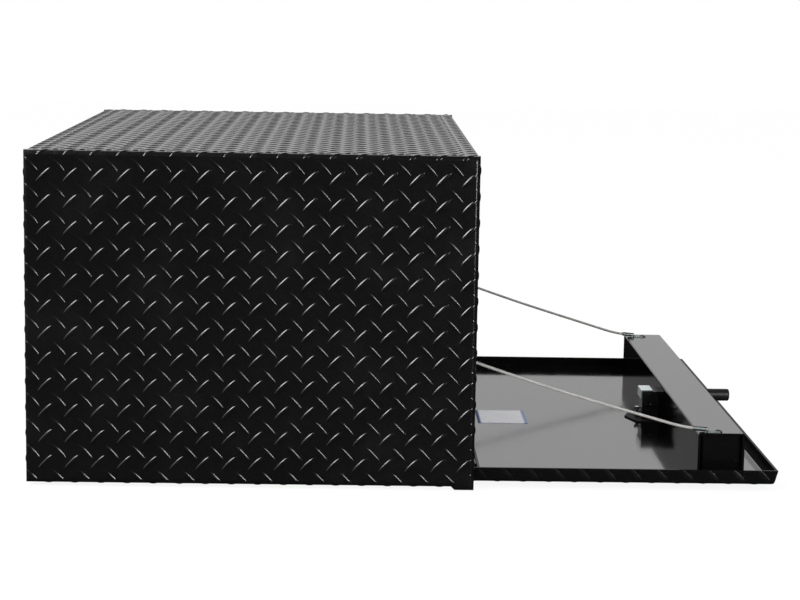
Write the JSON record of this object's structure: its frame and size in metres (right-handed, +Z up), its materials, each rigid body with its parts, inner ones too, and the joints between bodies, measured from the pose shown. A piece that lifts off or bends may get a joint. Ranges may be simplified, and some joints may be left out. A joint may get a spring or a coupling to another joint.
{
  "type": "underbody truck tool box",
  "caption": "Rectangular tread plate tool box that hangs under a truck bed, with a drop-down door on stay cables, a stiffening channel and a recessed T-handle latch.",
  "frame": {"origin": "centre of the underside of the floor panel", "axes": "+X out of the doorway, +Y along the width, +Z up"},
  "size_m": [1.0361, 0.9144, 0.4572],
  "materials": {
    "body_coat": "gloss black coat on raised tread plate",
    "door_coat": "gloss black coat",
    "seal_rubber": "matt black bulb seal",
    "zinc": "bright zinc plate",
    "hinge_steel": "gloss black coat",
    "pin_steel": "plain steel",
    "black_hardware": "black coat",
    "lock_chrome": "polished",
    "cable_steel": "stranded galvanised steel"
  },
  "bodies": {
    "box": {"end_panel_near": "body_coat", "end_panel_far": "body_coat", "top_panel": "body_coat", "back_panel": "body_coat", "floor_panel": "body_coat", "header": "body_coat", "jamb_near": "body_coat", "jamb_far": "body_coat", "sill": "body_coat", "door_seal": "seal_rubber", "bolt_keeper": "zinc", "keeper_sleeves": "zinc", "keeper_rivets": "zinc", "hinge_leaf_box": "hinge_steel", "hinge_pin": "pin_steel", "hinge_rivets_box": "black_hardware", "cable_lugs_box": "zinc", "cable_screws_box": "black_hardware"},
    "door": {"door_pan": "door_coat", "door_channel": "door_coat", "channel_cap_near": "door_coat", "channel_cap_far": "door_coat", "hinge_leaf_door": "hinge_steel", "hinge_rivets_door": "black_hardware", "latch_dish": "black_hardware", "dish_rivets": "black_hardware", "latch_base_plate": "black_hardware", "base_stud": "zinc", "bolt_guide_block": "black_hardware", "latch_strap": "zinc", "latch_screws": "black_hardware", "bolt_bush": "zinc", "cable_lugs_door": "zinc", "cable_screws_door": "black_hardware", "cable_near": "cable_steel", "cable_far": "cable_steel"},
    "handle": {"t_handle": "black_hardware", "latch_cam": "zinc", "cam_screw": "zinc"},
    "lock_core": {"lock_core": "lock_chrome"},
    "bolt": {"latch_bolt": "black_hardware", "bolt_yoke": "zinc", "yoke_pins": "zinc"}
  },
  "joints": [
    {"name": "door_hinge", "type": "hinge", "parent": "box", "child": "door", "pos_m": [0.3071, 0, 0.0016], "axis": [0, -1, 0], "range_deg": [0, 90], "deforming": ["cable_near", "cable_far"]},
    {"name": "handle_turn", "type": "hinge", "parent": "door", "child": "handle", "pos_m": [0.64995, 0, 0.0055], "axis": [0, 0, 1], "range_deg": [0, 90]},
    {"name": "bolt_slide", "type": "slide", "parent": "door", "child": "bolt", "axis": [1, 0, 0], "range_m": [0, 0.016]},
    {"name": "core_turn", "type": "hinge", "parent": "handle", "child": "lock_core", "pos_m": [0.64995, 0, 0.005], "axis": [0, 0, 1], "range_deg": [0, 90]}
  ],
  "couplings": [
    {"joint": "handle_turn", "follows": "bolt_slide", "rad_per_m": 98.17}
  ]
}
